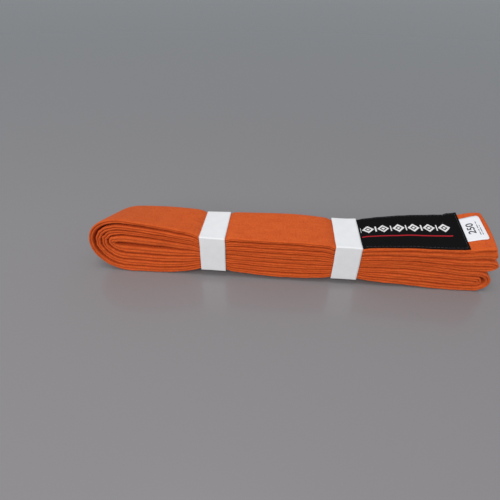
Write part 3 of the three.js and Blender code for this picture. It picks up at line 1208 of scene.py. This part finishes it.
@dataclass
class SizeTag:
    """The white size tag: its root is sewn in under the label's end."""

    label: WovenLabel
    root_x: float
    tuck: float = 1.6
    fold_length: float = 3.5  # the stretch next to the root that bends when the tag is lifted
    thickness: float = 0.22
    gap: float = 0.32
    curl: float = 0.25
    corner: float = 2.2
    corner_places: tuple[float, ...] = (1, 0.75, 0.5, 0.3, 0.15, 0.05, 0)  # shares of it
    end_round: float = 0.2
    rim_power: float = 50
    rim_least: float = 0.1
    straight_points: int = 12
    points: int = 19
    # Corners as x from the root and y: front and back at the root, then at the end.
    front_root: Pair = (0.3, -11.1)
    back_root: Pair = (0.4, 13.5)
    front_end: Pair = (15.2, -10.6)
    back_end: Pair = (14.2, 14.6)
    number: str = "250"
    number_size: float = 7.4
    number_weight: float = 0.16
    number_row: float = 2.2  # how far the number's middle is above the tag's
    dash_rows: tuple[tuple[float, tuple[float, ...]], ...] = (
        (-2.9, (3.2, 1.6, 4.0, 2.2)),
        (-4.6, (2.0, 4.4, 1.4)),
    )
    dash_start: float = -7.4
    dash_height: float = 0.55
    dash_gap: float = 0.9
    ink_rise: float = 0.04

    @property
    def length(self) -> float:
        """How far the tag shows, from its root to its end."""
        return self.front_end[0] - self.front_root[0]

    @property
    def width(self) -> float:
        """Its width at the root."""
        return self.back_root[1] - self.front_root[1]

    def place(self, u: Array, v: Array) -> tuple[Array, Array]:
        """x and y of a point of the tag, by its share u of the length and v of the width."""
        corners = np.array([self.front_root, self.back_root, self.front_end, self.back_end])
        weights = np.stack([(1 - u) * (1 - v), (1 - u) * v, u * (1 - v), u * v], axis=-1)
        spot = weights @ corners
        return self.root_x + spot[..., 0], spot[..., 1]

    def surface(self, u: Array, v: Array, above: float) -> Array:
        """Points on the tag: it lies on the belt, and curls up a little to its end."""
        x, y = self.place(u, v)
        curl = self.curl * np.clip(u, 0, 1) ** 2 * (1 + (2 * v - 1) ** 2) / 2
        z = self.label.top_of_belt(x, y) + self.gap + curl + above
        return self.label.packet.settled(np.stack([x, y, z], axis=-1))

    def build(self) -> Piece:
        """The tag: a thin sheet with two round corners, swept from its root outwards."""
        bend = self.length - self.corner
        straight = np.linspace(-self.tuck, bend, self.straight_points, endpoint=False)
        run = np.concatenate([straight, self.length - np.array(self.corner_places) * self.corner])
        drawn_in = np.clip(run - bend, 0, self.corner)
        inset = self.corner - np.sqrt(np.maximum(self.corner**2 - drawn_in**2, 0))
        across = np.linspace(-1, 1, self.points)[None, :]
        low = (inset / self.width)[:, None]
        v = low + (1 - 2 * low) * (1 + across) / 2
        end = rounded((self.length - run) / self.end_round, self.rim_least)[:, None]
        half = self.thickness / 2 * end * worn_rim(across, self.rim_power, self.rim_least)
        u = (run / self.length)[:, None]
        upper, lower = self.surface(u, v, half), self.surface(u, v, -half)[:, ::-1]
        around = both_faces(np.linspace(0, self.width, self.points))
        return swept_mesh("size_tag_sheet", np.concatenate([upper, lower], axis=1), run, around)

    def number_shape(self) -> tuple[Array, list[list[int]]]:
        """The number as flat points and faces, about the tag's middle."""
        text = bpy.data.curves.new("tag_number", "FONT")
        text.body, text.size, text.offset = self.number, self.number_size, self.number_weight
        text.align_x, text.align_y = "CENTER", "CENTER"
        carrier = in_scene("tag_number", text)
        bpy.context.view_layer.update()
        made = bpy.data.meshes.new_from_object(carrier)
        flat = np.array([vertex.co[:2] for vertex in made.vertices], float)
        faces = [list(polygon.vertices) for polygon in made.polygons]
        bpy.data.objects.remove(carrier)
        bpy.data.meshes.remove(made)
        return flat + [0, self.number_row], faces

    def dashes(self) -> list[Array]:
        """The four corners of each dash of the two short rows under the number."""
        boxes = []
        for row, lengths in self.dash_rows:
            left = self.dash_start
            for length in lengths:
                right, top = left + length, row + self.dash_height
                boxes.append(np.array([[left, row], [right, row], [right, top], [left, top]]))
                left = right + self.dash_gap
        return boxes

    def printing(self) -> Piece:
        """The print: a plain number and two rows of dashes, read along the belt's width."""
        flat, faces = self.number_shape()
        boxes = self.dashes()
        starts = len(flat) + 4 * np.arange(len(boxes))
        faces += [[start, start + 1, start + 2, start + 3] for start in starts.tolist()]
        flat = np.concatenate([flat, *boxes])
        # Text runs towards +Y, with its top towards the label.
        u, v = 0.5 - flat[:, 1] / self.length, 0.5 + flat[:, 0] / self.width
        on_tag = self.surface(u, v, self.thickness / 2 + self.ink_rise)
        mesh = bpy.data.meshes.new("tag_print")
        mesh.from_pydata((on_tag * MM).tolist(), [], faces)
        mesh.update()
        return in_scene("tag_print", mesh)


# ---- the paper bands -------------------------------------------------------------------


@dataclass
class PaperBand:
    """A strip of paper creased round the packet, its ends lapped and glued below."""

    name: str
    node: str
    seed: int
    packet: Packet
    lap: float = 12.0
    lap_slope: Pair = (8.0, 2.0)  # how far before the lap the outer end starts to drop
    lap_clear: float = 0.05
    paper: float = 0.26
    inset: float = 0.04  # from the CAD band's outer face
    floor: float = 1.6  # from its underside to the paper's middle line, in thicknesses
    corner: float = 0.7
    corner_points: int = 5
    step: float = 1.2
    points: int = 17
    rim_power: float = 40
    rim_least: float = 0.12
    bow: float = 0.1
    wander: Drift = Drift(0.12, 15, 70)
    unevenness: Drift = Drift(0.6, 9, 40, 7)

    @property
    def cad_box(self) -> tuple[Array, Array]:
        """The lowest and highest corner of the CAD band, in millimetres."""
        low, high = (np.array(corner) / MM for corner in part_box(self.node))
        return low, high

    @property
    def width(self) -> float:
        """The strip's width, to a micrometre."""
        low, high = self.cad_box
        return round(float(high[0] - low[0]), 3)

    def side_line(self, start: Pair, stop: Pair) -> Array:
        """Evenly spaced places from one point to just before another."""
        count = max(2, math.ceil(math.dist(start, stop) / self.step))
        share = np.arange(count)[:, None] / count
        return np.array(start) * (1 - share) + np.array(stop) * share

    def crease(self, y: float, z: float, start: float) -> Array:
        """A quarter turn about a point, clockwise from a start angle in degrees."""
        angle = np.radians(start - np.linspace(0, 90, self.corner_points, endpoint=False))
        return np.array([y, z]) + self.corner * np.stack([np.cos(angle), np.sin(angle)], axis=1)

    def outline(self) -> tuple[Array, Array, Array]:
        """The strip's middle line round the packet, with a spiral lap.

        Returns:
            The y and z of each place, and the length to it.
        """
        low, high = self.cad_box
        back = high[1] - self.paper / 2 - self.inset
        bottom, top = low[2] + self.paper * self.floor, high[2] - self.paper / 2
        r, lap = self.corner, self.lap / 2
        inner_y, inner_bottom, inner_top = back - r, bottom + r, top - r
        line = np.concatenate([
            self.side_line((lap, bottom), (-inner_y, bottom)),
            self.crease(-inner_y, inner_bottom, 270),
            self.side_line((-back, inner_bottom), (-back, inner_top)),
            self.crease(-inner_y, inner_top, 180),
            self.side_line((-inner_y, top), (inner_y, top)),
            self.crease(inner_y, inner_top, 90),
            self.side_line((back, inner_top), (back, inner_bottom)),
            self.crease(inner_y, inner_bottom, 0),
            self.side_line((inner_y, bottom), (-lap, bottom)),
            np.array([[-lap, bottom]]),
        ])
        s = np.concatenate([[0], np.cumsum(np.hypot(*np.diff(line, axis=0).T))])
        # The outer end of the lap drops below the inner one by just over the paper.
        start, stop = (s[-1] - self.lap - way for way in self.lap_slope)
        drop = (self.paper + self.lap_clear) * step_up(s, start, stop)
        return line[:, 0], line[:, 1] - drop, s

    def build(self) -> Piece:
        """The strip, with slightly bowed faces and worn cut edges."""
        y, z, s = self.outline()
        dy, dz = np.gradient(y), np.gradient(z)
        size = np.hypot(dy, dz)
        towards = np.sign(dy[np.argmax(z)])
        out_y, out_z = -dz / size * towards, dy / size * towards
        across = np.linspace(-1, 1, self.points)
        rim = worn_rim(across, self.rim_power, self.rim_least)
        both = np.concatenate([across, across[::-1]])[None, :]
        uneven = 1 + self.unevenness.at(s, self.seed)[:, None]
        off = self.paper / 2 * np.concatenate([rim, -rim[::-1]]) + self.bow * both**2 * uneven
        low, high = self.cad_box
        x = (low[0] + high[0]) / 2 + self.width / 2 * both + self.wander.at(s, self.seed)[:, None]
        y, z = (way[:, None] + out[:, None] * off for way, out in ((y, out_y), (z, out_z)))
        rings = np.stack([x, y, z], axis=2)
        around = both_faces(self.width / 2 * across)
        return swept_mesh(self.name, self.packet.settled(rings), s, around)


# ---- the studio ------------------------------------------------------------------------


@dataclass(frozen=True)
class SoftLight:
    """A square light aimed at the packet, in metres and watts."""

    place: Point
    side: float
    power: float


@dataclass
class Studio:
    """Floor, soft lights and the camera, in metres."""

    floor_side: float = 14.0
    floor: str = "#8A8687"
    floor_roughness: float = 0.23
    surround: str = "#D3DADF"
    surround_strength: float = 0.58
    lens: float = 27.36
    sensor: float = 36.0
    clip: Pair = (0.01, 30)
    camera_at: Point = (-0.01226, -0.25942, 0.19870)
    camera_right: Point = (0.99675, 0.07966, 0.01237)
    camera_up: Point = (-0.05618, 0.57635, 0.81527)
    aim: Point = (0, 0, 0.02)
    lights: tuple[SoftLight, ...] = (
        SoftLight((-0.1, -0.25, 1.2), 0.6, 4.8),
        SoftLight((-0.4, -1.15, 0.85), 0.8, 12.0),
    )

    def build_floor(self) -> None:
        """A large plain floor, which isn't part of the belt."""
        half = self.floor_side / 2
        mesh = bpy.data.meshes.new("floor")
        corners = [(-half, -half, 0), (half, -half, 0), (half, half, 0), (-half, half, 0)]
        mesh.from_pydata(corners, [], [(0, 1, 2, 3)])
        material, _, shader = new_material("plain floor")
        shader.inputs["Base Color"].default_value = linear(self.floor)
        shader.inputs["Roughness"].default_value = self.floor_roughness
        mesh.materials.append(material)
        in_scene("floor", mesh)

    def build_lights(self) -> None:
        """The soft lights, and an even grey surround."""
        for i, light in enumerate(self.lights):
            lamp = bpy.data.lights.new(f"soft_light_{i}", "AREA")
            lamp.size, lamp.energy = light.side, light.power
            holder = in_scene(f"soft_light_{i}", lamp)
            holder.location = light.place
            way = Vector(self.aim) - Vector(light.place)
            holder.rotation_euler = way.to_track_quat("-Z", "Y").to_euler()
        world = bpy.data.worlds.new("surround")
        world.use_nodes = True
        background = world.node_tree.nodes["Background"]
        background.inputs["Color"].default_value = linear(self.surround)
        background.inputs["Strength"].default_value = self.surround_strength
        bpy.context.scene.world = world
        bpy.context.scene.view_settings.view_transform = "Standard"

    def build_camera(self) -> None:
        """The camera, from its place and the directions of its right and up."""
        right, up = Vector(self.camera_right), Vector(self.camera_up)
        data = bpy.data.cameras.new("camera")
        data.lens, data.sensor_width = self.lens, self.sensor
        data.clip_start, data.clip_end = self.clip
        camera = in_scene("camera", data)
        turn = Matrix((right, up, right.cross(up))).transposed().to_4x4()
        camera.matrix_world = Matrix.Translation(self.camera_at) @ turn
        bpy.context.scene.camera = camera


# ---- assembly --------------------------------------------------------------------------


def node_x(node: str, side: Side) -> float:
    """How far a CAD node reaches to one side, in millimetres."""
    low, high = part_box(node)
    return float((high if side is Side.RIGHT else low).x / MM)


def joint_place(name: str) -> Array:
    """A joint's point, in millimetres."""
    joint = next(joint for joint in frame["joints"] if joint["name"] == name)
    return np.array(joint["pos_m"]) / MM


@dataclass
class BeltPacket:
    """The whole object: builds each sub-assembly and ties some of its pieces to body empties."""

    packet: Packet = field(default_factory=Packet)
    cut_x: float = 50.0
    bend_length: float = 24.0
    inner_tip_beyond: float = 2.5  # how much further the lower free end reaches than the top one
    core_short: float = 3.0  # from a sewn end to the core's end
    stitch_rows: Pair = (6.4, 2.4)  # from a sewn end to its two rows of stitches
    stitch_side: float = 3.0  # from the belt's edges to the box of stitches
    end_stitching: Stitching = Stitching(pitch=2.8, thread=0.4)
    row_points: int = 20
    side_points: int = 4

    def bend_with_free_end(self, piece: Piece) -> None:
        """Bakes a piece's placement into its mesh."""
        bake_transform(piece)

    def build_folded_belt(self, cotton: Material, canvas: Material) -> None:
        """The cover and the core plies from the cut to the inner free end."""
        cloth = BeltCloth(self.packet)
        tip = node_x("free_end_cover", Side.RIGHT) + self.inner_tip_beyond
        course = self.packet.folded_course(self.cut_x, tip)
        cover = cloth.cover("belt_cover_folded", course, False, True)
        dress(cover, cotton)
        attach(cover, "folded_belt")
        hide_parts("belt_cover")
        for ply in Ply:
            name = f"{ply.name.lower()}_core"
            shorter = cloth.shortened(course, 0, self.core_short)
            strip = cloth.core(f"{name}_canvas", shorter, ply)
            dress(strip, canvas)
            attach(strip, "folded_belt")
            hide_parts(f"{name}_ply")

    def build_free_end(self, cotton: Material, canvas: Material) -> None:
        """The cover and the core plies of the top free end."""
        cloth = BeltCloth(self.packet)
        course = self.packet.free_course(node_x("free_end_cover", Side.RIGHT), self.cut_x)
        cover = cloth.cover("belt_cover_free_end", course, True, False)
        dress(cover, cotton)
        self.bend_with_free_end(cover)
        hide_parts("free_end_cover")
        for ply in Ply:
            name = f"free_end_{ply.name.lower()}_core"
            shorter = cloth.shortened(course, self.core_short, 0)
            strip = cloth.core(f"{name}_canvas", shorter, ply)
            dress(strip, canvas)
            self.bend_with_free_end(strip)
            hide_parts(f"{name}_ply")

    def on_strand(self, number: int, x: Array, y: Array) -> Array:
        """Points on a strand's upper face."""
        x, y = np.broadcast_arrays(x, y)
        face = self.packet.upper_face(number, x, y)
        return self.packet.settled(np.stack([x, y, face], axis=1))

    def end_rows(self, name: str, number: int, tip: float) -> Piece:
        """The box of stitches that closes a free end, on a strand's upper face."""
        rows = [tip - way for way in self.stitch_rows]
        side = self.packet.width / 2 - self.stitch_side
        across = np.linspace(-side, side, self.row_points)
        along = np.linspace(*rows, self.side_points)
        lines = [self.on_strand(number, x, across) for x in rows]
        lines += [self.on_strand(number, along, y) for y in (-side, side)]
        return self.end_stitching.build(name, lines)

    def build_end_stitches(self, thread: Material) -> None:
        """The stitches at both free ends."""
        tip = node_x("free_end_cover", Side.RIGHT)
        upper = self.end_rows("free_end_stitches", 1, tip)
        dress(upper, thread)
        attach(upper, "free_end")
        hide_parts("free_end_stitching")
        lower = self.end_rows("inner_end_stitches", 2, tip + self.inner_tip_beyond)
        dress(lower, thread)
        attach(lower, "folded_belt")
        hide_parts("inner_end_stitching")

    def build_label(self, weave: Material, thread: Material) -> WovenLabel:
        """The label with its stitches.

        Args:
            weave: The label's material.
            thread: Its stitches' material.

        Returns:
            The label's shape, which the tag lies against.
        """
        start, end = node_x("label_tucked_end", Side.LEFT), node_x("woven_label", Side.RIGHT)
        label = WovenLabel(self.packet, start, end)
        sheet = label.build()
        dress(sheet, weave)
        self.bend_with_free_end(sheet)
        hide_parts("woven_label", "label_tucked_end")
        stitches = label.stitches(float(joint_place("free_end_lift")[0]) + label.inset)
        dress(stitches, thread)
        self.bend_with_free_end(stitches)
        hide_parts("label_stitching")
        return label

    def build_tag(self, label: WovenLabel, satin: Material, ink: Material) -> None:
        """The size tag and its print."""
        hinge = joint_place("size_tag_lift")
        tag = SizeTag(label, float(hinge[0]))
        sheet = tag.build()
        dress(sheet, satin)
        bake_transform(sheet)
        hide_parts("size_tag")
        printing = tag.printing()
        dress(printing, ink)
        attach(printing, "size_tag")

    def build_bands(self, paper: Material) -> None:
        """The two paper bands."""
        for side, seed in (("left", 31), ("right", 33)):
            band = PaperBand(f"{side}_paper_strip", f"{side}_paper_band", seed, self.packet)
            strip = band.build()
            dress(strip, paper)
            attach(strip, f"{side}_band")
            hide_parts(band.node)
            flat = (band.width * MM, float(band.outline()[-1][-1]) * MM)

    def build(self) -> None:
        """Builds the whole packet."""
        cotton, canvas = DyedCotton().build(), CoreCanvas().build()
        orange_thread = SewingThread("orange sewing thread", "#D65F2A", "#AE4016").build()
        black_thread = SewingThread("black sewing thread", "#26242A", "#0C0B0D").build()
        self.build_folded_belt(cotton, canvas)
        self.build_free_end(cotton, canvas)
        self.build_end_stitches(orange_thread)
        label = self.build_label(LabelWeave().build(), black_thread)
        self.build_tag(label, TagSatin().build(), TagInk().build())
        self.build_bands(BandPaper().build())


def main() -> None:
    """Builds the studio and the belt."""
    logging.basicConfig(level=logging.INFO, format="%(name)s: %(message)s")
    studio = Studio()
    studio.build_camera()
    studio.build_floor()
    studio.build_lights()
    BeltPacket().build()


if __name__ == "__main__":
    main()
